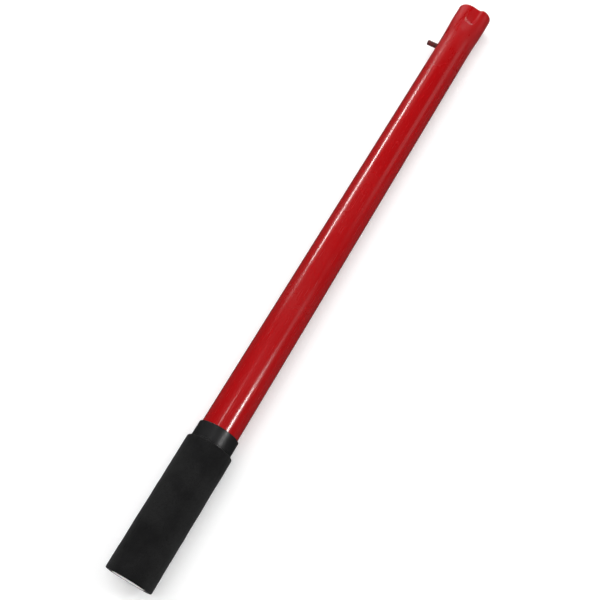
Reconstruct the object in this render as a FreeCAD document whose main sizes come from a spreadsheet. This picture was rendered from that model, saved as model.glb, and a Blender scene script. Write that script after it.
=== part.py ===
"""Tubular drive handle: a painted steel tube with a foam grip at its butt, a squeezed drive end,
and a sprung lock button near that end.

Millimetres. The handle lies along +X, from the butt at X = 0 to the drive end. The tube's axis is
the X axis, +Z is up, and the lock button points along +Y. The origin is the centre of the butt's face.
"""
import FreeCAD, Part
import math
import os
import PartDesign
import Sketcher

from FreeCAD import Placement, Rotation, Vector

doc = FreeCAD.newDocument("drive_handle")

# ---------------------------------------------------------------- driving dimensions
DIMENSIONS = [
    # steel tube
    ("overall_length", 632.0),
    ("tube_outer", 32.0),
    ("tube_wall", 2.0),
    # drive end, squeezed from above and below into an oval with a pressed groove on each flat
    ("crimp_length", 52.0),
    ("crimp_run_in", 41.6),
    ("crimp_spread", 2.2),
    ("crimp_squeeze", 9.4),
    ("crimp_fullness", 2.3),
    ("groove_length", 27.0),
    ("groove_run_in", 6.0),
    ("groove_depth", 2.6),
    ("groove_nose", 4.0),
    ("groove_gentle_side", 8.0),
    ("groove_steep_side", 2.7),
    ("groove_offset", 4.3),
    # lock button
    ("button_from_end", 58.0),
    ("button_pin", 5.0),
    ("button_proud", 10.0),
    ("button_chamfer", 0.5),
    ("button_guide", 5.4),
    ("guide_proud", 0.3),
    ("button_flange", 9.0),
    ("button_flange_thick", 1.2),
    ("button_tail", 3.0),
    ("button_tail_head", 5.0),
    ("button_tail_head_thick", 1.0),
    # spring that pushes the button out: a steel strip bent into a V inside the bore
    ("spring_strip", 0.8),
    ("spring_width", 9.0),
    ("spring_reach", 62.0),
    ("spring_pad", 14.0),
    ("spring_nose_radius", 3.0),
    ("spring_pad_radius", 4.0),
    # plastic sleeve under the foam, with its collar left bare
    ("collar_length", 14.0),
    ("sleeve_wall", 1.5),
    ("collar_round", 0.6),
    # foam grip
    ("foam_length", 113.0),
    ("foam_wall_front", 2.4),
    ("foam_wall_butt", 1.9),
    ("foam_round", 1.2),
    # plug in the butt
    ("plug_cap", 3.0),
    ("plug_length", 20.0),
    ("plug_wall", 2.0),
    ("plug_rib_height", 0.18),
    ("plug_rib_width", 1.5),
    ("plug_rib_pitch", 4.25),
    # clearances
    ("running_gap", 0.05),
    ("seat_gap", 0.05),
    ("slip_gap", 0.05),
    ("plug_gap", 0.2),
]

sheet = doc.addObject("Spreadsheet::Sheet", "Sizes")
for row, (alias, value) in enumerate(DIMENSIONS, start=1):
    sheet.set(f"A{row}", alias)
    sheet.set(f"B{row}", str(value))
    sheet.setAlias(f"B{row}", alias)
doc.recompute()


def size(alias):
    """One driving dimension, as a number."""
    return float(getattr(sheet, alias))


def number(expression):
    """An expression over the sheet, as a number."""
    result = sheet.evalExpression(expression)
    return float(getattr(result, "Value", result))


# derived sizes, as expressions over the sheet
TUBE_R = "Sizes.tube_outer / 2"
BORE_R = "(Sizes.tube_outer / 2 - Sizes.tube_wall)"
CRIMP_X = "(Sizes.overall_length - Sizes.crimp_length)"
BUTTON_X = "(Sizes.overall_length - Sizes.button_from_end)"
# a flat disc or strip meets the round bore at its own edges
FLANGE_TOP = f"(sqrt(pow({BORE_R}; 2) - pow(Sizes.button_flange / 2; 2)) - Sizes.seat_gap)"
SPRING_SEAT = f"(sqrt(pow({BORE_R}; 2) - pow(Sizes.spring_width / 2; 2)) - Sizes.seat_gap)"
FLANGE_BOTTOM = f"({FLANGE_TOP} - Sizes.button_flange_thick)"
TAIL_HEAD_TOP = f"({FLANGE_BOTTOM} - Sizes.spring_strip - 2 * Sizes.seat_gap)"
SLEEVE_IN_R = f"({TUBE_R} + Sizes.slip_gap)"
SLEEVE_OUT_R = f"({SLEEVE_IN_R} + Sizes.sleeve_wall)"
SLEEVE_LENGTH = "(Sizes.foam_length + Sizes.collar_length)"
FOAM_IN_R = f"({SLEEVE_OUT_R} + Sizes.slip_gap)"
PLUG_R = f"({BORE_R} - Sizes.plug_gap)"

ALONG_X = Rotation(Vector(0, 1, 0), 90)


# ---------------------------------------------------------------- shared builders
def origin_plane(body, role):
    """One of a body's own origin planes."""
    return next(f for f in body.Origin.OriginFeatures if f.Role == role)


def new_body(label):
    body = doc.addObject("PartDesign::Body", label)
    body.Label = label
    return body


def polygon_sketch(body, name, corners):
    """A closed polygon on the body's XY plane, each corner tied to a pair of expressions."""
    sketch = body.newObject("Sketcher::SketchObject", name)
    sketch.AttachmentSupport = [(origin_plane(body, "XY_Plane"), "")]
    sketch.MapMode = "FlatFace"
    points = [Vector(number(across), number(up), 0) for across, up in corners]
    count = len(points)
    for i in range(count):
        sketch.addGeometry(Part.LineSegment(points[i], points[(i + 1) % count]), False)
    for i in range(count):
        sketch.addConstraint(Sketcher.Constraint("Coincident", i, 2, (i + 1) % count, 1))
    for i, (across, up) in enumerate(corners):
        for kind, expression, value, axis in (
            ("DistanceX", across, points[i].x, -2),
            ("DistanceY", up, points[i].y, -1),
        ):
            if expression == "0":
                sketch.addConstraint(Sketcher.Constraint("PointOnObject", i, 1, axis))
                continue
            index = sketch.addConstraint(Sketcher.Constraint(kind, -1, 1, i, 1, value))
            sketch.setExpression(f"Constraints[{index}]", expression)
    return sketch


def revolve(body, sketch, axis):
    """Turn a sketch all the way round one of its own axes."""
    turn = body.newObject("PartDesign::Revolution", sketch.Name + "_turned")
    turn.Profile = sketch
    turn.ReferenceAxis = (sketch, [axis])
    turn.Angle = 360.0
    sketch.Visibility = False
    doc.recompute()
    return turn


def round_rims(body, base, name, radius, wanted):
    """Fillet the circular edges for which wanted(centre, radius) holds."""
    edges = []
    for i, edge in enumerate(base.Shape.Edges, start=1):
        if isinstance(edge.Curve, Part.Circle) and wanted(edge.Curve.Center, edge.Curve.Radius):
            edges.append(f"Edge{i}")
    fillet = body.newObject("PartDesign::Fillet", name)
    fillet.Base = (base, edges)
    fillet.setExpression("Radius", radius)
    doc.recompute()
    return fillet


def cylinder(name, radius, height, start_x="0"):
    """A cylinder along +X about the tube's axis."""
    item = doc.addObject("Part::Cylinder", name)
    item.setExpression("Radius", radius)
    item.setExpression("Height", height)
    item.Placement = Placement(Vector(0, 0, 0), ALONG_X)
    item.setExpression("Placement.Base.x", start_x)
    return item


# ---------------------------------------------------------------- handle tube
CRIMP_SECTIONS = 27
SECTION_POINTS = 72
SECTION_OVERRUN = 3.0


def ease(share):
    """Smooth step from 0 to 1."""
    share = min(max(share, 0.0), 1.0)
    return share * share * (3.0 - 2.0 * share)


def crimp_outline(x, turn):
    """A point of the tube's outer outline at a place along the crimp, as (y, z)."""
    length = size("overall_length")
    squeeze = ease((x - (length - size("crimp_length"))) / size("crimp_run_in"))
    radius = size("tube_outer") / 2
    half_width = radius + squeeze * size("crimp_spread") / 2
    half_height = radius - squeeze * size("crimp_squeeze") / 2
    power = 2.0 / (2.0 + squeeze * (size("crimp_fullness") - 2.0))
    y = half_width * math.copysign(abs(math.cos(turn)) ** power, math.cos(turn))
    z = half_height * math.copysign(abs(math.sin(turn)) ** power, math.sin(turn))
    # the groove is pressed into the top and the bottom, off the middle on the side away from the
    # button; its flank towards the button is the gentler one, and its start is a rounded nose
    off_middle = y + size("groove_offset")
    off_middle /= size("groove_gentle_side") if off_middle > 0 else size("groove_steep_side")
    start = length - size("groove_length") + size("groove_nose") * off_middle ** 2
    pressed = ease((x - start) / size("groove_run_in"))
    depth = size("groove_depth") * pressed * math.exp(-off_middle ** 2) * abs(math.sin(turn))
    return y, z - math.copysign(depth, z)


def crimp_section(x, inset):
    """The closed outline at one place, moved inwards by inset along its own normal."""
    points = []
    small = 1e-4
    for i in range(SECTION_POINTS):
        turn = 2 * math.pi * (i + 0.5) / SECTION_POINTS
        y, z = crimp_outline(x, turn)
        y_before, z_before = crimp_outline(x, turn - small)
        y_after, z_after = crimp_outline(x, turn + small)
        along_y = y_after - y_before
        along_z = z_after - z_before
        length = math.hypot(along_y, along_z)
        points.append(Vector(x, y - inset * along_z / length, z + inset * along_y / length))
    curve = Part.BSplineCurve()
    curve.interpolate(Points=points, PeriodicFlag=True)
    return Part.Wire([curve.toShape()])


def crimp_solid(name, inset, overrun):
    """The squeezed end as a loft, running past the cut end by overrun."""
    start = number(CRIMP_X)
    end = size("overall_length")
    places = [start + (end - start) * i / (CRIMP_SECTIONS - 1) for i in range(CRIMP_SECTIONS)]
    wires = [crimp_section(place, inset) for place in places]
    solid = Part.makeLoft(wires, True, False)
    if overrun:
        mouth = Part.Face(crimp_section(end, inset)).extrude(Vector(overrun, 0, 0))
        solid = solid.fuse(mouth)
    item = doc.addObject("Part::Feature", name)
    item.Shape = solid
    return item


def cut(name, base, tool):
    item = doc.addObject("Part::Cut", name)
    item.Base = base
    item.Tool = tool
    return item


def fuse(name, first, second):
    item = doc.addObject("Part::Fuse", name)
    item.Base = first
    item.Tool = second
    return item


def make_handle_tube():
    outer_round = cylinder("tube_round", TUBE_R, CRIMP_X)
    outer_crimp = crimp_solid("tube_crimp", 0.0, 0.0)
    bore_round = cylinder("bore_round", BORE_R, CRIMP_X)
    bore_crimp = crimp_solid("bore_crimp", size("tube_wall"), SECTION_OVERRUN)
    hole = doc.addObject("Part::Cylinder", "button_hole")
    hole.setExpression("Radius", "Sizes.button_guide / 2 + Sizes.running_gap")
    hole.setExpression("Height", "Sizes.tube_outer")
    hole.Placement = Placement(Vector(0, 0, 0), Rotation(Vector(1, 0, 0), -90))
    hole.setExpression("Placement.Base.x", BUTTON_X)
    straight = cut("tube_straight", outer_round, bore_round)
    drilled = cut("tube_drilled", straight, hole)
    squeezed = cut("tube_squeezed", outer_crimp, bore_crimp)
    tube = fuse("handle_tube", drilled, squeezed)
    tube.Label = "handle_tube"
    return tube


# ---------------------------------------------------------------- lock button and its spring
def make_lock_button():
    """A turned pin whose guide slides in the tube's wall, with a flange and a riveted tail inside."""
    body = new_body("lock_button")
    tip = f"{TUBE_R} + Sizes.button_proud"
    guide_end = f"{TUBE_R} + Sizes.guide_proud"
    tail_head_bottom = f"{TAIL_HEAD_TOP} - Sizes.button_tail_head_thick"
    corners = [
        ("0", tip),
        ("Sizes.button_pin / 2 - Sizes.button_chamfer", tip),
        ("Sizes.button_pin / 2", f"{tip} - Sizes.button_chamfer"),
        ("Sizes.button_pin / 2", guide_end),
        ("Sizes.button_guide / 2", guide_end),
        ("Sizes.button_guide / 2", FLANGE_TOP),
        ("Sizes.button_flange / 2", FLANGE_TOP),
        ("Sizes.button_flange / 2", FLANGE_BOTTOM),
        ("Sizes.button_tail / 2", FLANGE_BOTTOM),
        ("Sizes.button_tail / 2", TAIL_HEAD_TOP),
        ("Sizes.button_tail_head / 2", TAIL_HEAD_TOP),
        ("Sizes.button_tail_head / 2", tail_head_bottom),
        ("0", tail_head_bottom),
    ]
    sketch = polygon_sketch(body, "button_profile", corners)
    revolve(body, sketch, "V_Axis")
    body.setExpression("Placement.Base.x", BUTTON_X)
    return body


def rounded_wire(points, radii):
    """Straight runs through the points, with a tangent arc at each inner point."""
    edges = []
    last = points[0]
    for i in range(1, len(points) - 1):
        back = (points[i - 1] - points[i]).normalize()
        ahead = (points[i + 1] - points[i]).normalize()
        half_angle = back.getAngle(ahead) / 2
        reach = radii[i - 1] / math.tan(half_angle)
        arc_start = points[i] + back * reach
        arc_end = points[i] + ahead * reach
        to_centre = (back + ahead).normalize()
        centre = points[i] + to_centre * (radii[i - 1] / math.sin(half_angle))
        arc_middle = centre - to_centre * radii[i - 1]
        edges.append(Part.LineSegment(last, arc_start).toShape())
        edges.append(Part.Arc(arc_start, arc_middle, arc_end).toShape())
        last = arc_end
    edges.append(Part.LineSegment(last, points[-1]).toShape())
    return Part.Wire(edges)


def make_button_spring():
    """A strip bent into a V: one leg carries the button, the other bears on the far wall of the bore."""
    strip = size("spring_strip")
    pad = size("spring_pad") / 2
    upper = number(FLANGE_BOTTOM) - size("seat_gap") - strip / 2
    lower = strip / 2 - number(SPRING_SEAT)
    path = [
        Vector(pad, upper, 0),
        Vector(-pad, upper, 0),
        Vector(-size("spring_reach"), (upper + lower) / 2, 0),
        Vector(-pad, lower, 0),
        Vector(pad, lower, 0),
    ]
    radii = [size("spring_pad_radius"), size("spring_nose_radius"), size("spring_pad_radius")]
    line = rounded_wire(path, radii)
    half_width = size("spring_width") / 2
    corners = [
        Vector(pad, upper - strip / 2, -half_width),
        Vector(pad, upper + strip / 2, -half_width),
        Vector(pad, upper + strip / 2, half_width),
        Vector(pad, upper - strip / 2, half_width),
    ]
    section = Part.makePolygon(corners + corners[:1])
    solid = line.makePipeShell([section], True, False)
    hole = Part.makeCylinder(
        size("button_tail") / 2 + size("running_gap"),
        4 * strip,
        Vector(0, upper - 2 * strip, 0),
        Vector(0, 1, 0),
    )
    item = doc.addObject("Part::Feature", "button_spring")
    item.Label = "button_spring"
    item.Shape = solid.cut(hole)
    item.Placement = Placement(Vector(number(BUTTON_X), 0, 0), Rotation())
    return item


# ---------------------------------------------------------------- grip
def make_grip_sleeve():
    """A plain plastic sleeve on the tube. Its front stands out of the foam as a collar."""
    body = new_body("grip_sleeve")
    corners = [
        ("0", SLEEVE_IN_R),
        (SLEEVE_LENGTH, SLEEVE_IN_R),
        (SLEEVE_LENGTH, SLEEVE_OUT_R),
        ("0", SLEEVE_OUT_R),
    ]
    sketch = polygon_sketch(body, "sleeve_profile", corners)
    turned = revolve(body, sketch, "H_Axis")
    front = number(SLEEVE_LENGTH)
    outer = number(SLEEVE_OUT_R)
    round_rims(
        body, turned, "collar_rim", "Sizes.collar_round",
        lambda centre, radius: abs(centre.x - front) < 0.01 and abs(radius - outer) < 0.01,
    )
    return body


def make_foam_grip():
    """A foam tube over the sleeve, a little thicker at its front than at the butt."""
    body = new_body("foam_grip")
    corners = [
        ("0", FOAM_IN_R),
        ("Sizes.foam_length", FOAM_IN_R),
        ("Sizes.foam_length", f"{FOAM_IN_R} + Sizes.foam_wall_front"),
        ("0", f"{FOAM_IN_R} + Sizes.foam_wall_butt"),
    ]
    sketch = polygon_sketch(body, "foam_profile", corners)
    turned = revolve(body, sketch, "H_Axis")
    inner = number(FOAM_IN_R)
    round_rims(
        body, turned, "foam_rims", "Sizes.foam_round",
        lambda centre, radius: radius > inner + 0.1,
    )
    return body


PLUG_RIBS = 3


def make_end_plug():
    """A push-in plug: a cap flush with the butt, and a hollow skirt with gripping ribs."""
    body = new_body("end_plug")
    skirt_in = f"({PLUG_R} - Sizes.plug_wall)"
    rib_r = f"{PLUG_R} + Sizes.plug_rib_height"
    rib_starts = [f"(Sizes.plug_cap + {i} * Sizes.plug_rib_pitch)" for i in range(1, PLUG_RIBS + 1)]
    corners = [("0", "0"), ("0", PLUG_R)]
    for start in rib_starts:
        end = f"{start} + Sizes.plug_rib_width"
        corners += [(start, PLUG_R), (start, rib_r), (end, rib_r), (end, PLUG_R)]
    corners += [
        ("Sizes.plug_length", PLUG_R),
        ("Sizes.plug_length", skirt_in),
        ("Sizes.plug_cap", skirt_in),
        ("Sizes.plug_cap", "0"),
    ]
    sketch = polygon_sketch(body, "plug_profile", corners)
    revolve(body, sketch, "H_Axis")
    return body


# ---------------------------------------------------------------- build, test and write
pieces = [
    make_handle_tube(),
    make_lock_button(),
    make_button_spring(),
    make_grip_sleeve(),
    make_foam_grip(),
    make_end_plug(),
]
doc.recompute()

for item in doc.Objects:
    if "Invalid" in item.State or "Error" in item.State:
        raise RuntimeError(f"{item.Label} did not compute")
for piece in pieces:
    if piece.Shape.isNull() or not piece.Shape.isValid():
        raise RuntimeError(f"{piece.Label} is not a valid shape")
    if len(piece.Shape.Solids) != 1:
        raise RuntimeError(f"{piece.Label} holds {len(piece.Shape.Solids)} solids")

os.makedirs("parts", exist_ok=True)
for piece in pieces:
    piece.Shape.exportStep(f"parts/{piece.Label}.step")
    box = piece.Shape.BoundBox
    print(f"{piece.Label:14s} {piece.Shape.Volume:10.1f} mm3  "
          f"X {box.XMin:.2f} {box.XMax:.2f}  Y {box.YMin:.2f} {box.YMax:.2f}  Z {box.ZMin:.2f} {box.ZMax:.2f}")
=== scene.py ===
"""The looks of a tubular drive handle: tube, foam grip, sleeve, plug, lock button and spring.

Metres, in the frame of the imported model: +X runs from the butt to the drive end, the lock button
points along +Y, and +Z is up.
"""

import math

import bmesh
import bpy
from mathutils import Matrix, Vector, noise


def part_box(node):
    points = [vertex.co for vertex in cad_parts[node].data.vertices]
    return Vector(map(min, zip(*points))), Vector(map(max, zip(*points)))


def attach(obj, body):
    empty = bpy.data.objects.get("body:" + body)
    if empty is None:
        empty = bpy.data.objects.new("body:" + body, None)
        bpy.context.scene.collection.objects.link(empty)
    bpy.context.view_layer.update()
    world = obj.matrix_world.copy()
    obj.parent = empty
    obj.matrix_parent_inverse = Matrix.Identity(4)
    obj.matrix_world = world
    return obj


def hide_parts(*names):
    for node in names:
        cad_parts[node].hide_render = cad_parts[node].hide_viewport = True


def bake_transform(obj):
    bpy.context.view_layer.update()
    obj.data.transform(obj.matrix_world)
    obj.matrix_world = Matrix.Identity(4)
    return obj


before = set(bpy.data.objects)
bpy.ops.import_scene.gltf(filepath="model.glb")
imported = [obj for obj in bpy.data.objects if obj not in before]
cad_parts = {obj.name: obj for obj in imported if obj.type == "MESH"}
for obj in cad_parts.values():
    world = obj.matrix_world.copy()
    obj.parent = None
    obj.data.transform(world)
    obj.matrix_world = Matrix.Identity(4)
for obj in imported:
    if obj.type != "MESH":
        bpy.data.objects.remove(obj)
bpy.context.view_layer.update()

MM = 0.001
HANDLE = "handle"
BUTTON = "button"

# ------------------------------------------------------------------ sizes, read from the frame
TUBE_LOW, TUBE_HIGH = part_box("handle_tube")
SLEEVE_LOW, SLEEVE_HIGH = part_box("grip_sleeve")
FOAM_LOW, FOAM_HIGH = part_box("foam_grip")
PLUG_LOW, PLUG_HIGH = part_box("end_plug")
PIN_LOW, PIN_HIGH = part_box("lock_button")
SPRING_LOW, SPRING_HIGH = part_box("button_spring")

LENGTH = TUBE_HIGH[0]
SLEEVE_LENGTH = SLEEVE_HIGH[0]
SLEEVE_R = SLEEVE_HIGH[2]
FOAM_LENGTH = FOAM_HIGH[0]
FOAM_FRONT_R = FOAM_HIGH[2]
PLUG_LENGTH = PLUG_HIGH[0]
PIN_X = (PIN_LOW[0] + PIN_HIGH[0]) / 2
PIN_TIP = PIN_HIGH[1]
FLANGE_R = (PIN_HIGH[0] - PIN_LOW[0]) / 2

# ------------------------------------------------------------------ sizes of the tube and its crimp
TUBE_R = 16.0 * MM
TUBE_WALL = 2.0 * MM
BORE_R = TUBE_R - TUBE_WALL
CRIMP_LENGTH = 52.0 * MM
CRIMP_RUN_IN = 41.6 * MM
CRIMP_SPREAD = 2.2 * MM
CRIMP_SQUEEZE = 9.4 * MM
CRIMP_FULLNESS = 2.3
GROOVE_LENGTH = 27.0 * MM
GROOVE_RUN_IN = 6.0 * MM
GROOVE_DEPTH = 2.6 * MM
GROOVE_NOSE = 4.0 * MM
GROOVE_GENTLE_SIDE = 8.0 * MM
GROOVE_STEEP_SIDE = 2.7 * MM
GROOVE_OFFSET = 4.3 * MM
LIP = 0.45 * MM
TUBE_SEGMENTS = 160
HOLE_R = 2.75 * MM
SLIDE_GAP = 0.05 * MM  # left between pieces that are pushed over each other


# ------------------------------------------------------------------ mesh helpers
def new_object(name, mesh):
    """A smooth-shaded object in the scene for a mesh."""
    item = bpy.data.objects.new(name, mesh)
    bpy.context.scene.collection.objects.link(item)
    for face in mesh.polygons:
        face.use_smooth = True
    return item


def mesh_from_rings(name, rings, ends=False, loop=False):
    """Quads between rings of points.

    With ends, the first and last ring are each closed by a fan. With loop, they are joined.
    """
    build = bmesh.new()
    rows = [[build.verts.new(point) for point in ring] for ring in rings]
    pairs = list(zip(rows, rows[1:]))
    if loop:
        pairs.append((rows[-1], rows[0]))
    for first, second in pairs:
        count = len(first)
        for i in range(count):
            after = (i + 1) % count
            build.faces.new((first[i], first[after], second[after], second[i]))
    for row in (rows[0], rows[-1]) if ends else ():
        middle = sum((vert.co for vert in row), Vector()) / len(row)
        centre = build.verts.new(middle)
        for i in range(len(row)):
            build.faces.new((row[i], row[(i + 1) % len(row)], centre))
    bmesh.ops.recalc_face_normals(build, faces=build.faces)
    mesh = bpy.data.meshes.new(name)
    build.to_mesh(mesh)
    build.free()
    return mesh


def sharp_angle(mesh, degrees):
    """Edges bent more than this stay crisp in the smooth shading."""
    mesh.set_sharp_from_angle(angle=math.radians(degrees))


def full_turn(segments):
    """The angles of a ring's points."""
    return [2 * math.pi * i / segments for i in range(segments)]


def round_about_x(x, radius, segments):
    """A ring of points about the tube's axis."""
    turns = full_turn(segments)
    return [Vector((x, radius * math.cos(turn), radius * math.sin(turn))) for turn in turns]


def round_about_pin(y, radius, segments):
    """A ring of points about the lock pin's axis."""
    turns = full_turn(segments)
    return [Vector((PIN_X + radius * math.cos(a), y, radius * math.sin(a))) for a in turns]


def arc(centre, radius, start, end, steps):
    """Points of a profile's rounded corner, as (along, radius) pairs. Angles are in degrees."""
    turns = [math.radians(start + (end - start) * i / steps) for i in range(steps + 1)]
    return [(centre[0] + radius * math.cos(a), centre[1] + radius * math.sin(a)) for a in turns]


def spaced(low, high, step):
    """Evenly spaced places from low to high, no further apart than step."""
    count = max(1, math.ceil((high - low) / step))
    return [low + (high - low) * i / count for i in range(count + 1)]


def ease(share):
    """0 to 1 with a soft start and end."""
    share = min(max(share, 0.0), 1.0)
    return share * share * (3.0 - 2.0 * share)


# ------------------------------------------------------------------ material helpers
class Nodes:
    """A material's node tree, with short calls to add and join nodes."""

    def __init__(self, name):
        self.material = bpy.data.materials.new(name)
        self.material.use_nodes = True
        self.tree = self.material.node_tree
        self.shader = self.tree.nodes["Principled BSDF"]
        self.place = self.tree.nodes.new("ShaderNodeTexCoord").outputs["Object"]

    def feed(self, socket, value):
        """Joins another node's output to a socket, or sets the socket's own value."""
        if isinstance(value, bpy.types.NodeSocket):
            self.tree.links.new(value, socket)
        else:
            socket.default_value = value

    def add(self, kind, inputs=None, **settings):
        """A node. Its inputs are numbers, colours or other nodes' outputs."""
        node = self.tree.nodes.new("ShaderNode" + kind)
        for key, value in settings.items():
            setattr(node, key, value)
        for key, value in (inputs or {}).items():
            self.feed(node.inputs[key], value)
        return node

    def set(self, **values):
        """Numbers or outputs on the shader's own sockets. An underscore stands for a space."""
        for key, value in values.items():
            self.feed(self.shader.inputs[key.replace("_", " ")], value)

    def stretch(self, x, y, z):
        """The object's coordinates, scaled along each axis."""
        return self.add("Mapping", {"Vector": self.place, "Scale": (x, y, z)}).outputs["Vector"]

    def noise(self, scale, detail, roughness=0.5, vector=None):
        """Clouds from 0 to 1. A larger scale makes them smaller."""
        inputs = {
            "Vector": vector or self.place,
            "Scale": scale,
            "Detail": detail,
            "Roughness": roughness,
        }
        return self.add("TexNoise", inputs).outputs["Fac"]

    def cells(self, scale):
        """The distance to the nearest of many scattered points, for pores."""
        inputs = {"Vector": self.place, "Scale": scale}
        return self.add("TexVoronoi", inputs, feature="F1").outputs["Distance"]

    def between(self, value, from_low, from_high, to_low=0.0, to_high=1.0):
        """value mapped smoothly from one range to another."""
        inputs = {
            "Value": value,
            "From Min": from_low,
            "From Max": from_high,
            "To Min": to_low,
            "To Max": to_high,
        }
        return self.add("MapRange", inputs, interpolation_type="SMOOTHSTEP").outputs["Result"]

    def mix(self, share, first, second):
        """A colour between two colours."""
        node = self.add("Mix", {"Factor": share}, data_type="RGBA")
        for key, value in (("A", first), ("B", second)):
            socket = next(s for s in node.inputs if s.name == key and s.type == "RGBA")
            self.feed(socket, (*value, 1.0) if isinstance(value, tuple) else value)
        return next(s for s in node.outputs if s.type == "RGBA")

    def math(self, operation, first, second):
        """The sum or product of two values."""
        return self.add("Math", {0: first, 1: second}, operation=operation).outputs["Value"]

    def axis(self, name):
        """One of the object's coordinates, in metres."""
        return self.add("SeparateXYZ", {"Vector": self.place}).outputs[name]

    def bump(self, height, distance, strength, under=None):
        """A normal from a height, on top of the normal under it."""
        inputs = {"Height": height, "Distance": distance, "Strength": strength}
        if under is not None:
            inputs["Normal"] = under
        return self.add("Bump", inputs).outputs["Normal"]


def red_enamel():
    """Glossy red enamel with slight orange peel, scuffed where the end goes into its socket."""
    nodes = Nodes("red_enamel")
    deep_red = (0.332, 0.0010, 0.0022)
    bright_red = (0.392, 0.0020, 0.0036)
    scuffed_red = (0.50, 0.030, 0.034)
    bare_steel = (0.16, 0.13, 0.125)
    colour = nodes.mix(nodes.noise(9.0, 4.0), deep_red, bright_red)
    along = nodes.axis("X")
    worn_end = nodes.between(along, LENGTH - 95 * MM, LENGTH - 45 * MM)
    scuffs = nodes.noise(60.0, 6.0, 0.65, nodes.stretch(0.35, 2.2, 2.2))
    scuffed = nodes.math("MULTIPLY", worn_end, nodes.between(scuffs, 0.42, 0.68, 0.25, 1.0))
    colour = nodes.mix(nodes.math("MULTIPLY", scuffed, 0.22), colour, scuffed_red)
    # bare steel shows on the mouth's lip and the hole's edge, where the coat is thin
    worn = nodes.add("Attribute", attribute_name="lip", attribute_type="GEOMETRY").outputs["Fac"]
    chips = nodes.between(nodes.noise(420.0, 5.0, 0.6), 0.44, 0.56)
    bare = nodes.math("MULTIPLY", worn, chips)
    colour = nodes.mix(bare, colour, bare_steel)
    scratches = nodes.noise(900.0, 2.0, vector=nodes.stretch(0.05, 1.0, 1.0))
    hairlines = nodes.between(scratches, 0.64, 0.74)
    gloss = nodes.between(nodes.noise(34.0, 5.0), 0.3, 0.7, 0.20, 0.28)
    gloss = nodes.math("ADD", gloss, nodes.math("MULTIPLY", hairlines, 0.10))
    gloss = nodes.math("ADD", gloss, nodes.math("MULTIPLY", scuffed, 0.24))
    peel = nodes.bump(nodes.noise(330.0, 2.0), 0.03 * MM, 0.35)
    grain = nodes.bump(scuffs, 0.05 * MM, 0.30, peel)
    nodes.set(Base_Color=colour, Roughness=gloss, Normal=grain, Metallic=bare)
    nodes.set(IOR=1.5, Coat_Weight=0.3, Coat_Roughness=0.10, Coat_IOR=1.5)
    return nodes.material


def bore_steel():
    """The unpainted inside of the tube: dark steel, a little rust, red overspray near the mouth."""
    nodes = Nodes("bore_steel")
    steel = (0.105, 0.10, 0.098)
    rusty = (0.115, 0.050, 0.026)
    overspray = (0.36, 0.010, 0.013)
    rust = nodes.between(nodes.noise(140.0, 6.0, 0.65), 0.48, 0.66)
    colour = nodes.mix(rust, steel, rusty)
    mouth = nodes.between(nodes.axis("X"), LENGTH - 34 * MM, LENGTH - 3 * MM)
    spray = nodes.between(nodes.noise(260.0, 4.0, 0.6), 0.36, 0.6, 0.25, 1.0)
    colour = nodes.mix(nodes.math("MULTIPLY", mouth, spray), colour, overspray)
    streaks = nodes.noise(300.0, 4.0, 0.6, nodes.stretch(0.08, 1.0, 1.0))
    nodes.set(Base_Color=colour, Metallic=0.45, Normal=nodes.bump(streaks, 0.06 * MM, 0.5))
    nodes.set(Roughness=nodes.between(streaks, 0.3, 0.7, 0.42, 0.66))
    return nodes.material


def black_plastic():
    """Satin black moulded plastic with faint lines round it from turning on the mandrel."""
    nodes = Nodes("black_plastic")
    dark = (0.0085, 0.0085, 0.009)
    light = (0.014, 0.014, 0.0145)
    colour = nodes.mix(nodes.noise(70.0, 4.0), dark, light)
    rings = nodes.noise(1100.0, 2.0, vector=nodes.stretch(1.0, 0.03, 0.03))
    fine = nodes.noise(1500.0, 2.0)
    satin = nodes.between(nodes.noise(120.0, 4.0), 0.3, 0.7, 0.33, 0.42)
    grain = nodes.bump(fine, 0.015 * MM, 0.3)
    nodes.set(Base_Color=colour, Roughness=satin, IOR=1.49)
    nodes.set(Normal=nodes.bump(rings, 0.02 * MM, 0.35, grain))
    return nodes.material


def black_foam():
    """Closed-cell foam: matt black skin with fine open pores, their insides painted darker as
    shade, and a few rubbed patches.
    """
    nodes = Nodes("black_foam")
    patches = nodes.between(nodes.noise(38.0, 5.0, 0.6), 0.38, 0.66)
    dark = (0.0075, 0.0075, 0.0078)
    rubbed = (0.0150, 0.0150, 0.0152)
    # painted shade: the colour inside the pores, darker than the skin
    pore_painted_shade = (0.003, 0.003, 0.003)
    colour = nodes.mix(patches, dark, rubbed)
    pores = nodes.between(nodes.cells(1250.0), 0.12, 0.42)
    # painted shade: each pore is coloured darker towards its middle, as if shade fell in it
    colour = nodes.mix(pores, pore_painted_shade, colour)
    big = nodes.between(nodes.cells(420.0), 0.05, 0.22)
    skin = nodes.noise(700.0, 4.0, 0.6)
    normal = nodes.bump(big, 0.10 * MM, 0.35)
    normal = nodes.bump(pores, 0.12 * MM, 0.6, normal)
    normal = nodes.bump(skin, 0.10 * MM, 0.5, normal)
    nodes.set(Base_Color=colour, Normal=normal, IOR=1.45)
    nodes.set(Roughness=nodes.between(patches, 0.0, 1.0, 0.80, 0.95))
    nodes.set(Sheen_Weight=0.04, Sheen_Roughness=0.5, Specular_IOR_Level=0.2)
    return nodes.material


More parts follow.
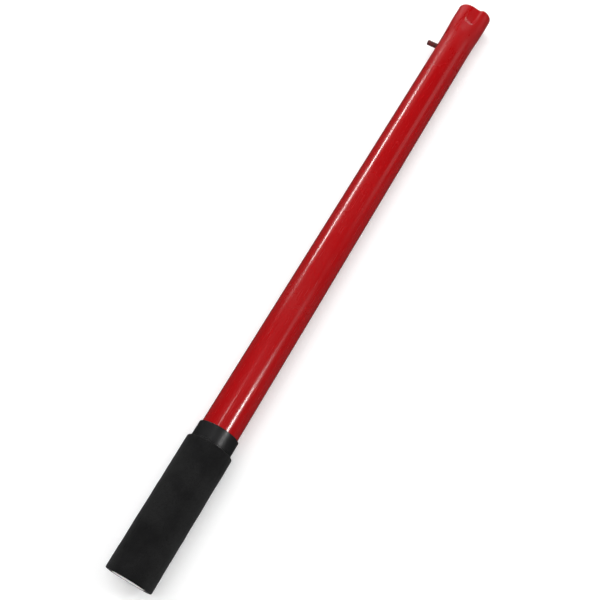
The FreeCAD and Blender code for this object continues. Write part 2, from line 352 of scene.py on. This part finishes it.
def pale_plastic():
    """Off-white polyethylene, slightly see-through, with scuffs and a little dirt."""
    nodes = Nodes("pale_plastic")
    dirt = nodes.between(nodes.noise(95.0, 6.0, 0.65), 0.50, 0.78)
    clean = (0.86, 0.855, 0.84)
    dirty = (0.66, 0.645, 0.61)
    colour = nodes.mix(dirt, clean, dirty)
    marks = nodes.noise(520.0, 4.0, 0.6)
    nodes.set(Base_Color=colour, Roughness=nodes.between(dirt, 0.0, 1.0, 0.38, 0.62))
    nodes.set(Normal=nodes.bump(marks, 0.05 * MM, 0.35))
    nodes.set(Subsurface_Weight=0.15, Subsurface_Scale=2.0 * MM)
    return nodes.material


def button_steel():
    """Turned steel with a thin uneven coat of the tube's red, rubbed through in patches."""
    nodes = Nodes("button_steel")
    coat = nodes.between(nodes.noise(620.0, 5.0, 0.62), 0.34, 0.62)
    rubbed_steel = (0.115, 0.085, 0.080)
    dark_red = (0.17, 0.016, 0.016)
    colour = nodes.mix(coat, rubbed_steel, dark_red)
    turned = nodes.noise(2600.0, 2.0, vector=nodes.stretch(0.05, 1.0, 0.05))
    nodes.set(Base_Color=colour, Metallic=nodes.between(coat, 0.0, 1.0, 0.85, 0.10))
    nodes.set(Roughness=nodes.between(coat, 0.0, 1.0, 0.30, 0.44))
    nodes.set(Normal=nodes.bump(turned, 0.02 * MM, 0.5))
    return nodes.material


def spring_steel():
    """Blue-grey spring strip with rolling lines along it and a trace of oil."""
    nodes = Nodes("spring_steel")
    blue_grey = (0.19, 0.20, 0.23)
    light_grey = (0.34, 0.33, 0.33)
    colour = nodes.mix(nodes.noise(75.0, 4.0), blue_grey, light_grey)
    lines = nodes.noise(1900.0, 2.0, vector=nodes.stretch(0.03, 0.6, 1.0))
    nodes.set(Base_Color=colour, Metallic=1.0, Roughness=nodes.between(lines, 0.3, 0.7, 0.24, 0.40))
    nodes.set(Normal=nodes.bump(lines, 0.02 * MM, 0.4))
    return nodes.material


def studio_floor():
    """A plain pale light table, which glows a little and so keeps the shadows faint."""
    nodes = Nodes("studio_floor")
    colour = nodes.mix(nodes.noise(3.0, 3.0), (0.80, 0.80, 0.80), (0.82, 0.82, 0.82))
    nodes.set(Base_Color=colour, Roughness=0.9, Specular_IOR_Level=0.1)
    nodes.set(Emission_Color=(1.0, 1.0, 1.0, 1.0), Emission_Strength=0.25)
    return nodes.material


# ------------------------------------------------------------------ the tube
def crimp_point(x, turn, inset):
    """A point of the tube's section, moved inwards by inset along the section's normal."""

    def outline(angle):
        squeeze = ease((x - (LENGTH - CRIMP_LENGTH)) / CRIMP_RUN_IN)
        half_width = TUBE_R + squeeze * CRIMP_SPREAD / 2
        half_height = TUBE_R - squeeze * CRIMP_SQUEEZE / 2
        power = 2.0 / (2.0 + squeeze * (CRIMP_FULLNESS - 2.0))
        y = half_width * math.copysign(abs(math.cos(angle)) ** power, math.cos(angle))
        z = half_height * math.copysign(abs(math.sin(angle)) ** power, math.sin(angle))
        off_middle = y + GROOVE_OFFSET
        off_middle /= GROOVE_GENTLE_SIDE if off_middle > 0 else GROOVE_STEEP_SIDE
        start = LENGTH - GROOVE_LENGTH + GROOVE_NOSE * off_middle ** 2
        pressed = ease((x - start) / GROOVE_RUN_IN)
        depth = GROOVE_DEPTH * pressed * math.exp(-off_middle ** 2) * abs(math.sin(angle))
        return y, z - math.copysign(depth, z)

    small_turn = 1e-4
    y, z = outline(turn)
    y_before, z_before = outline(turn - small_turn)
    y_after, z_after = outline(turn + small_turn)
    along_y = y_after - y_before
    along_z = z_after - z_before
    length = math.hypot(along_y, along_z)
    return Vector((x, y - inset * along_z / length, z + inset * along_y / length))


def tube_ring(x, inset):
    """The tube's section at x, as a ring of points."""
    turns = [2 * math.pi * (i + 0.5) / TUBE_SEGMENTS for i in range(TUBE_SEGMENTS)]
    return [crimp_point(x, turn, inset) for turn in turns]


def make_tube():
    """The whole wall as one closed skin, with the button's hole cut through it.

    The skin runs along the outside, round the drive end's lip, back along the bore and round the
    butt's lip.
    """
    straight_end = LENGTH - CRIMP_LENGTH - 2 * MM
    straight_step = 5 * MM
    crimp_step = 0.9 * MM
    outside = spaced(LIP, straight_end, straight_step)
    outside += spaced(straight_end, LENGTH - LIP, crimp_step)[1:]
    places = [(x, 0.0) for x in outside]
    places += [(x, inset) for x, inset in arc((LENGTH - LIP, LIP), LIP, -90, 0, 4)[1:]]
    places += [(x, inset) for x, inset in arc((LENGTH - LIP, TUBE_WALL - LIP), LIP, 0, 90, 4)]
    places += [(x, TUBE_WALL) for x in reversed(outside[:-1])]
    places += [(x, inset) for x, inset in arc((LIP, TUBE_WALL - LIP), LIP, 90, 180, 3)[1:]]
    places += [(x, inset) for x, inset in arc((LIP, LIP), LIP, 180, 270, 3)[:-1]]
    rings = [tube_ring(x, inset) for x, inset in places]
    mesh = mesh_from_rings("tube", rings, loop=True)
    tube = new_object("tube", mesh)

    hole_segments = 64
    cutter_ends = (BORE_R - 3 * MM, TUBE_R + 4 * MM)
    cutter_rings = [round_about_pin(y, HOLE_R, hole_segments) for y in cutter_ends]
    cutter = new_object("hole_cutter", mesh_from_rings("hole_cutter", cutter_rings, ends=True))
    cut = tube.modifiers.new("hole", "BOOLEAN")
    cut.object = cutter
    cut.operation = "DIFFERENCE"
    cut.solver = "EXACT"
    graph = bpy.context.evaluated_depsgraph_get()
    drilled = bpy.data.meshes.new_from_object(tube.evaluated_get(graph))
    tube.modifiers.clear()
    tube.data = drilled
    bpy.data.objects.remove(cutter)

    drilled.materials.clear()
    drilled.materials.append(red_enamel())
    drilled.materials.append(bore_steel())
    facing_along = 0.9
    for face in drilled.polygons:
        face.use_smooth = True
        x, y, z = face.center
        outward = face.normal.y * y + face.normal.z * z
        in_bore = outward < 0 and abs(face.normal.x) < facing_along
        at_butt = x < LIP  # cut after painting, so its edge is bare
        face.material_index = 1 if in_bore or at_butt else 0

    # how worn each point is: 1 on a cut edge, 0 past these widths from it
    end_wear = 0.5 * MM
    hole_wear = 0.3 * MM
    lip = drilled.attributes.new("lip", "FLOAT", "POINT")
    for vert, item in zip(drilled.vertices, lip.data):
        x, y, z = vert.co
        share = min(abs(LENGTH - x), abs(x)) / end_wear
        if y > BORE_R - MM:
            share = min(share, abs(math.hypot(x - PIN_X, z) - HOLE_R) / hole_wear)
        item.value = 1.0 - ease(share)
    sharp_angle(drilled, 40)
    return tube


# ------------------------------------------------------------------ turned pieces
def turned_about_x(name, profile, segments, material, hollow=True, wobble=None):
    """A profile of (x, radius) points turned about the tube's axis.

    The profile of a hollow piece is a loop. Any other starts and ends near the axis, and is closed
    there. wobble moves each point.
    """
    rings = [round_about_x(x, radius, segments) for x, radius in profile]
    mesh = mesh_from_rings(name, rings, ends=not hollow, loop=hollow)
    if wobble:
        for vert in mesh.vertices:
            vert.co = wobble(vert.co.copy())
    item = new_object(name, mesh)
    mesh.materials.append(material)
    return item


def make_sleeve():
    """The plastic sleeve, bare at its front as a collar, with a small bead where the foam stops."""
    inner = TUBE_R + SLIDE_GAP
    outer = SLEEVE_R
    rim = 0.6 * MM
    inner_rim = 0.2 * MM
    butt_rim = 0.3 * MM
    bead = 0.3 * MM
    bead_sunk = 0.1 * MM
    bead_foot = 2.2 * bead
    bead_middle = FOAM_LENGTH + 1.2 * MM
    front = SLEEVE_LENGTH - rim - 0.4 * MM
    profile = [(x, outer) for x in spaced(butt_rim, FOAM_LENGTH - 2 * MM, 4 * MM)]
    profile += [(bead_middle - bead_foot, outer)]
    profile += arc((bead_middle, outer - bead_sunk), bead, 165, 15, 8)
    profile += [(x, outer) for x in spaced(bead_middle + bead_foot, front, 2 * MM)]
    profile += arc((SLEEVE_LENGTH - rim, outer - rim), rim, 90, 0, 6)
    profile += arc((SLEEVE_LENGTH - inner_rim, inner + inner_rim), inner_rim, 0, -90, 3)
    profile += [(x, inner) for x in spaced(inner_rim, SLEEVE_LENGTH - MM, 8 * MM)[::-1]]
    profile += [(0.0, inner + inner_rim), (0.0, outer - butt_rim)]
    sleeve = turned_about_x("sleeve", profile, 128, black_plastic())
    sharp_angle(sleeve.data, 50)
    return sleeve


def make_foam():
    """The foam tube, with soft cut rims and the slight unevenness of a stretched-on grip."""
    inner = SLEEVE_R + SLIDE_GAP
    butt = FOAM_FRONT_R - 0.5 * MM
    front = FOAM_FRONT_R
    rim = 1.1 * MM
    skin_step = 0.8 * MM
    profile = arc((rim, butt - rim), rim, 180, 90, 6)
    for x in spaced(rim, FOAM_LENGTH - rim, skin_step)[1:-1]:
        profile.append((x, butt + (front - butt) * x / FOAM_LENGTH))
    profile += arc((FOAM_LENGTH - rim, front - rim), rim, 90, 0, 6)
    profile += [(FOAM_LENGTH, inner + 0.6 * MM), (FOAM_LENGTH - 0.3 * MM, inner)]
    profile += [(x, inner) for x in spaced(MM, FOAM_LENGTH - 2 * MM, 6 * MM)[::-1]]
    profile += [(0.3 * MM, inner), (0.0, inner + 0.5 * MM)]

    def uneven(point):
        """Soft lumps and small pits, strongest on the outside."""
        sunk = 0.12 * MM  # keeps the highest lump inside the CAD's foam
        end_sunk = 0.02 * MM
        end_zone = 4 * MM
        radius = math.hypot(point.y, point.z)
        share = ease((radius - inner) / (butt - inner))
        lump = noise.noise(point * 55.0) * 0.22 * MM
        dimple = noise.noise(point * 210.0 + Vector((3.1, 0.7, 5.2))) * 0.10 * MM
        pit = -max(0.0, noise.noise(point * 620.0) - 0.28) * 0.35 * MM
        scale = 1.0 + share * (lump + dimple + pit - sunk) / radius
        along = Vector((point.x * 30, point.y * 90, point.z * 90))
        ends = share * noise.noise(along) * 0.18 * MM
        near_butt = point.x < FOAM_LENGTH / 2
        nearest = point.x if near_butt else FOAM_LENGTH - point.x
        inward = (1.0 - ease(nearest / end_zone)) * (abs(ends) + end_sunk)
        point.x += inward if near_butt else -inward
        return Vector((point.x, point.y * scale, point.z * scale))

    return turned_about_x("foam", profile, 320, black_foam(), wobble=uneven)


def make_plug():
    """The butt's plug: a cap with a shallow dish and a gate mark, and a hollow ribbed skirt."""
    outer = BORE_R - 0.2 * MM
    rib = outer + 0.17 * MM
    skirt_in = outer - 2.0 * MM
    cap = 3.0 * MM
    gate = 0.05 * MM
    dish = 0.45 * MM
    rim = 0.6 * MM
    skirt_edge = 0.4 * MM
    skirt_inner_edge = 0.2 * MM
    fillet = 0.5 * MM
    ribs = 3
    profile = [(gate, 0.5 * MM), (gate, 1.2 * MM), (dish, 1.6 * MM), (dish, outer - 4.2 * MM)]
    profile += arc((rim, outer - 3.2 * MM), rim, 250, 180, 4)
    profile += [(0.0, outer - 1.8 * MM)]
    profile += arc((rim, outer - rim), rim, 180, 90, 5)
    pitch = (PLUG_LENGTH - cap) / (ribs + 1)
    for i in range(1, ribs + 1):
        start = cap + i * pitch
        for ahead, radius in ((-0.1, outer), (0.3, rib), (1.1, rib), (1.5, outer)):
            profile.append((start + ahead * MM, radius))
    profile += [(PLUG_LENGTH - skirt_edge, outer), (PLUG_LENGTH, outer - skirt_edge)]
    profile += [(PLUG_LENGTH, skirt_in + skirt_inner_edge)]
    profile += [(PLUG_LENGTH - skirt_inner_edge, skirt_in)]
    profile += [(cap + fillet, skirt_in), (cap, skirt_in - fillet), (cap, MM)]
    plug = turned_about_x("plug", profile, 96, pale_plastic(), hollow=False)
    sharp_angle(plug.data, 50)
    return plug


def make_button():
    """The lock pin, turned in one piece with its guide, flange and riveted tail."""
    pin_r = 2.5 * MM
    guide_r = 2.7 * MM
    tail_r = 1.5 * MM
    flange_low = PIN_LOW[1] + 1.9 * MM
    flange_top = flange_low + 1.2 * MM
    tail_head_top = PIN_LOW[1] + 1.0 * MM
    guide_end = TUBE_R + 0.3 * MM
    dome = 0.6 * MM
    bevel = 0.1 * MM
    flange_bevel = 0.2 * MM
    straight = spaced(guide_end + 0.2 * MM, PIN_TIP - 1.2 * MM, 1.5 * MM)
    profile = arc((PIN_TIP - dome, pin_r - dome), dome, 0, 90, 6)
    profile += [(y, pin_r) for y in straight[::-1]]
    profile += [(guide_end, pin_r + 0.05 * MM), (guide_end - bevel, guide_r)]
    profile += [(flange_top + bevel, guide_r), (flange_top, guide_r + bevel)]
    profile += [(flange_top, FLANGE_R - flange_bevel), (flange_top - flange_bevel, FLANGE_R)]
    profile += [(flange_low + flange_bevel, FLANGE_R), (flange_low, FLANGE_R - flange_bevel)]
    profile += [(flange_low, tail_r), (tail_head_top, tail_r)]
    profile += [(tail_head_top, 2.4 * MM), (tail_head_top - 0.35 * MM, 2.5 * MM)]
    profile += [(PIN_LOW[1] + 0.15 * MM, 2.1 * MM), (PIN_LOW[1], 1.3 * MM)]
    segments = 72
    rings = [round_about_pin(y, radius, segments) for y, radius in profile]
    mesh = mesh_from_rings("lock_pin", rings, ends=True)
    mesh.materials.append(button_steel())
    pin = new_object("lock_pin", mesh)
    sharp_angle(mesh, 35)
    return pin


def make_spring():
    """The V spring, whose upper leg carries the button and whose lower leg bears on the bore.

    Also gives the heights of its nose, which stays still, and of its upper leg.
    """
    strip = 0.8 * MM
    pad = 7.0 * MM
    nose_r = 3.0 * MM
    pad_steps = 4
    leg_steps = 13
    nose_steps = 12
    upper = SPRING_HIGH[1] - strip / 2
    lower = SPRING_LOW[1] + strip / 2
    half_width = SPRING_HIGH[2]
    leg_end = PIN_X - pad
    nose = SPRING_LOW[0] + nose_r + strip / 2
    nose_y = (upper + lower) / 2
    path = [(PIN_X + pad - 2 * pad * i / pad_steps, upper) for i in range(pad_steps + 1)]
    for i in range(1, leg_steps):
        share = i / leg_steps
        y = upper - share * (upper - nose_y - nose_r)
        path.append((leg_end - share * (leg_end - nose), y))
    path += arc((nose, nose_y), nose_r, 90, 270, nose_steps)
    for i in range(1, leg_steps):
        share = i / leg_steps
        y = nose_y - nose_r + share * (lower - nose_y + nose_r)
        path.append((nose + share * (leg_end - nose), y))
    path += [(leg_end + 2 * pad * i / pad_steps, lower) for i in range(pad_steps + 1)]
    rings = []
    for i, (x, y) in enumerate(path):
        before = path[max(i - 1, 0)]
        after = path[min(i + 1, len(path) - 1)]
        run = Vector((after[0] - before[0], after[1] - before[1])).normalized()
        side = Vector((-run.y, run.x)) * strip / 2
        ring = []
        for across, thick in ((-1, -1), (1, -1), (1, 1), (-1, 1)):
            ring.append(Vector((x + thick * side.x, y + thick * side.y, across * half_width)))
        rings.append(ring)
    mesh = mesh_from_rings("leaf_spring", rings, ends=True)
    mesh.materials.append(spring_steel())
    spring = new_object("leaf_spring", mesh)
    soften = spring.modifiers.new("edges", "BEVEL")
    soften.width = 0.12 * MM
    soften.segments = 2
    sharp_angle(mesh, 40)
    return spring, nose_y, upper


# ------------------------------------------------------------------ build the pieces
tube = make_tube()
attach(tube, HANDLE)
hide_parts("handle_tube")

sleeve = make_sleeve()
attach(sleeve, HANDLE)
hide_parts("grip_sleeve")

foam = make_foam()
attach(foam, HANDLE)
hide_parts("foam_grip")

plug = make_plug()
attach(plug, HANDLE)
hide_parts("end_plug")

pin = make_button()
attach(pin, BUTTON)
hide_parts("lock_button")

spring, still_y, moving_y = make_spring()
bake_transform(spring)
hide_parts("button_spring")


# ------------------------------------------------------------------ floor, light and camera
VIEW_ROLL = math.radians(10)  # the button points a little away from the camera
FLOOR_HALF = 6.0
WORLD_STRENGTH = 0.05


def make_floor():
    """The light table. It leans by half a degree, so that grip and thinner tube both rest on it."""
    touch_grip = Vector((FOAM_LENGTH, 0.0, -FOAM_FRONT_R))
    touch_tube = Vector((LENGTH - CRIMP_LENGTH, 0.0, -TUBE_R))
    lean = math.atan2(touch_tube.z - touch_grip.z, touch_tube.x - touch_grip.x)
    build = bmesh.new()
    corners = []
    for x, y in ((-1, -1), (1, -1), (1, 1), (-1, 1)):
        corners.append(build.verts.new((x * FLOOR_HALF, y * FLOOR_HALF, 0.0)))
    build.faces.new(corners)
    mesh = bpy.data.meshes.new("floor")
    build.to_mesh(mesh)
    build.free()
    mesh.materials.append(studio_floor())
    floor = bpy.data.objects.new("floor", mesh)
    # the enamel mirrors the dim studio instead of the table, which would whiten its edges
    floor.visible_glossy = False
    floor.matrix_world = Matrix.Translation(touch_grip) @ Matrix.Rotation(-lean, 4, "Y")
    bpy.context.scene.collection.objects.link(floor)


def rolled(point):
    """A point turned about the tube's axis by VIEW_ROLL, as the camera is."""
    return Matrix.Rotation(VIEW_ROLL, 4, "X") @ Vector(point)


def area_light(name, place, target, size, power, mirrored=True, spread=180.0):
    """A soft box at a place, facing a target. size is its extent along the tube and across it.

    The pieces' gloss doesn't show a box that isn't mirrored. A narrow spread, in degrees, keeps
    the light of a low box off the floor just in front of it.
    """
    data = bpy.data.lights.new(name, "AREA")
    data.shape = "RECTANGLE"
    data.size, data.size_y = size
    data.energy = power
    data.spread = math.radians(spread)
    place = rolled(place)
    back = (place - rolled(target)).normalized()
    along = (Vector((1, 0, 0)) - back * back.x).normalized()
    across = back.cross(along)
    lamp = bpy.data.objects.new(name, data)
    turn = Matrix((along, across, back)).transposed().to_4x4()
    lamp.matrix_world = Matrix.Translation(place) @ turn
    lamp.visible_glossy = mirrored
    lamp.visible_camera = False
    bpy.context.scene.collection.objects.link(lamp)


def make_lights():
    """The studio. Powers are in watts, places in metres, turned with the camera by VIEW_ROLL."""
    # a long strip low on the button's side draws the line along the upper left of the tube
    area_light("strip_left", (0.94, 0.77, 0.28), (0.94, 0.0, 0.0), (0.50, 0.07), 3.4)
    # two small boxes overhead draw the short bright lines just in front of the grip
    area_light("box_right", (0.40, -0.66, 0.93), (0.40, 0.0, 0.0), (0.21, 0.15), 3.5)
    area_light("box_left", (0.39, 0.45, 1.0), (0.39, 0.0, 0.0), (0.14, 0.06), 0.32)
    # soft boxes past the drive end give that end its dull sheen
    area_light("box_far_left", (1.46, 0.76, 0.50), (0.57, 0.0, 0.0), (0.36, 0.60), 0.24)
    area_light("box_far_right", (1.40, -0.84, 0.80), (0.52, 0.0, 0.0), (0.55, 0.50), 0.45)
    # a low box ahead of the drive end picks out the nose of the pressed groove
    place, target = (2.20, 0.17, 0.19), (0.61, 0.0, 0.0)
    area_light("box_ahead", place, target, (0.10, 0.16), 0.11, spread=40.0)
    # a large panel lights everything evenly
    place, target = (0.32, 0.70, 2.20), (0.32, 0.0, 0.0)
    area_light("panel_over", place, target, (3.0, 3.0), 66.0, mirrored=False)
    # a low panel behind the butt lights the plug
    place, target = (-1.40, 0.0, 0.14), (0.0, 0.0, 0.0)
    area_light("panel_low", place, target, (0.20, 0.50), 0.36, mirrored=False, spread=40.0)


def make_world():
    """A dim white studio all round, which the gloss mirrors."""
    world = bpy.data.worlds.new("studio")
    world.use_nodes = True
    background = world.node_tree.nodes["Background"]
    background.inputs["Color"].default_value = (1.0, 1.0, 1.0, 1.0)
    background.inputs["Strength"].default_value = WORLD_STRENGTH
    bpy.context.scene.world = world


def make_camera():
    """Over the butt, looking down along the handle towards the drive end."""
    data = bpy.data.cameras.new("camera")
    data.sensor_width = 36.0
    data.lens = 51.0
    data.clip_start = 0.01
    data.clip_end = 60.0
    place = Matrix.Translation((-0.031, 0.0, 0.655))
    back = Vector((-0.405, 0.0, 0.914)).normalized()
    up_hint = Vector((0.780, 0.522, 0.346))
    right = up_hint.cross(back).normalized()
    up = back.cross(right)
    camera = bpy.data.objects.new("camera", data)
    turn = Matrix((right, up, back)).transposed().to_4x4()
    camera.matrix_world = Matrix.Rotation(VIEW_ROLL, 4, "X") @ place @ turn
    bpy.context.scene.collection.objects.link(camera)
    bpy.context.scene.camera = camera


make_floor()
make_lights()
make_world()
make_camera()
bpy.context.scene.view_settings.view_transform = "Standard"
